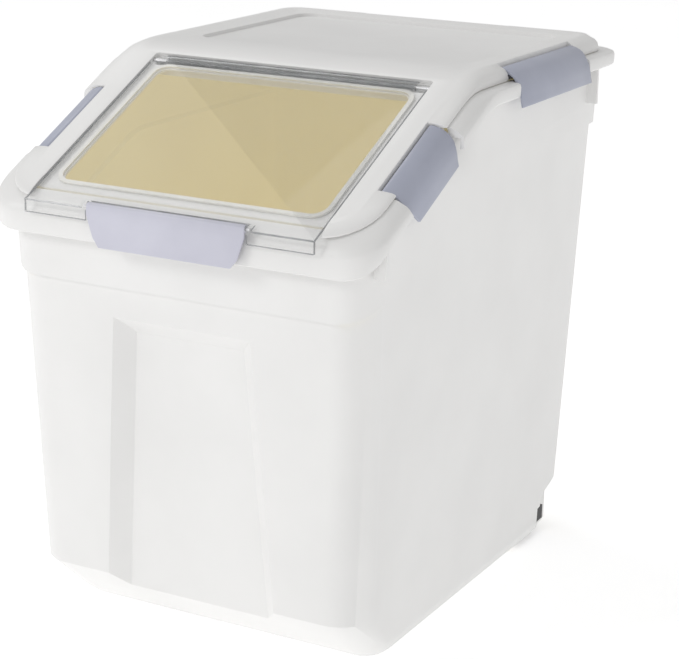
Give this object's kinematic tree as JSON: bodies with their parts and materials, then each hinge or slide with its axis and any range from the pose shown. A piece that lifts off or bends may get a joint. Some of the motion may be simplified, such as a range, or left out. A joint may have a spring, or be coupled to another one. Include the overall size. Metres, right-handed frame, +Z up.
{
  "type": "pet food bin",
  "caption": "Tapered plastic food bin with a lift-off lid, a clear flip-up window flap, snap latches around the rim and small rear wheels.",
  "frame": {"origin": "on the floor, under the middle of the tub's flat bottom", "axes": "+X to the right seen from the front, +Y to the back, +Z up; the front faces -Y"},
  "size_m": [0.3234, 0.4348, 0.4145],
  "materials": {
    "white_plastic": "satin moulded",
    "clear_plastic": "clear polished plastic",
    "lilac_plastic": "satin moulded",
    "soft_seal": "matt",
    "steel": "drawn wire",
    "black_plastic": "moulded"
  },
  "bodies": {
    "base": {"tub": "white_plastic", "right_axle": "steel", "left_axle": "steel", "right_axle_cap": "black_plastic", "left_axle_cap": "black_plastic"},
    "lid": {"lid_frame": "white_plastic", "lid_seal": "soft_seal", "flap_seal": "soft_seal", "flap_hinge_rod": "steel", "right_slope_latch_pin": "steel", "left_slope_latch_pin": "steel", "right_top_latch_pin": "steel", "left_top_latch_pin": "steel", "rear_latch_pin": "steel"},
    "flap": {"window_flap": "clear_plastic", "front_latch_pin": "steel"},
    "front_latch": {"front_latch": "lilac_plastic"},
    "right_slope_latch": {"right_slope_latch": "lilac_plastic"},
    "left_slope_latch": {"left_slope_latch": "lilac_plastic"},
    "right_top_latch": {"right_top_latch": "lilac_plastic"},
    "left_top_latch": {"left_top_latch": "lilac_plastic"},
    "rear_latch": {"rear_latch": "lilac_plastic"},
    "right_wheel": {"right_wheel": "black_plastic"},
    "left_wheel": {"left_wheel": "black_plastic"}
  },
  "joints": [
    {"name": "lid_lift", "type": "slide", "parent": "base", "child": "lid", "axis": [0, 0, 1], "range_m": [0, 0.12]},
    {"name": "flap_hinge", "type": "hinge", "parent": "lid", "child": "flap", "pos_m": [0, -0.05243, 0.40199], "axis": [-1, 0, 0], "range_deg": [0, 105]},
    {"name": "front_latch_hinge", "type": "hinge", "parent": "flap", "child": "front_latch", "pos_m": [0, -0.2157, 0.3276], "axis": [-1, 0, 0], "range_deg": [0, 110]},
    {"name": "right_slope_latch_hinge", "type": "hinge", "parent": "lid", "child": "right_slope_latch", "pos_m": [0.13724, -0.12746, 0.36615], "axis": [0, -0.9033, -0.4289], "range_deg": [0, 100]},
    {"name": "left_slope_latch_hinge", "type": "hinge", "parent": "lid", "child": "left_slope_latch", "pos_m": [-0.13724, -0.12746, 0.36615], "axis": [0, 0.9033, 0.4289], "range_deg": [0, 100]},
    {"name": "right_top_latch_hinge", "type": "hinge", "parent": "lid", "child": "right_top_latch", "pos_m": [0.1426, 0.0735, 0.4089], "axis": [0, -1, 0], "range_deg": [0, 100]},
    {"name": "left_top_latch_hinge", "type": "hinge", "parent": "lid", "child": "left_top_latch", "pos_m": [-0.1426, 0.0735, 0.4089], "axis": [0, 1, 0], "range_deg": [0, 100]},
    {"name": "rear_latch_hinge", "type": "hinge", "parent": "lid", "child": "rear_latch", "pos_m": [0, 0.1955, 0.4089], "axis": [1, 0, 0], "range_deg": [0, 100]},
    {"name": "right_wheel_spin", "type": "hinge", "parent": "base", "child": "right_wheel", "pos_m": [0.113, 0.138, 0.021], "axis": [1, 0, 0], "continuous": true},
    {"name": "left_wheel_spin", "type": "hinge", "parent": "base", "child": "left_wheel", "pos_m": [-0.113, 0.138, 0.021], "axis": [1, 0, 0], "continuous": true}
  ]
}
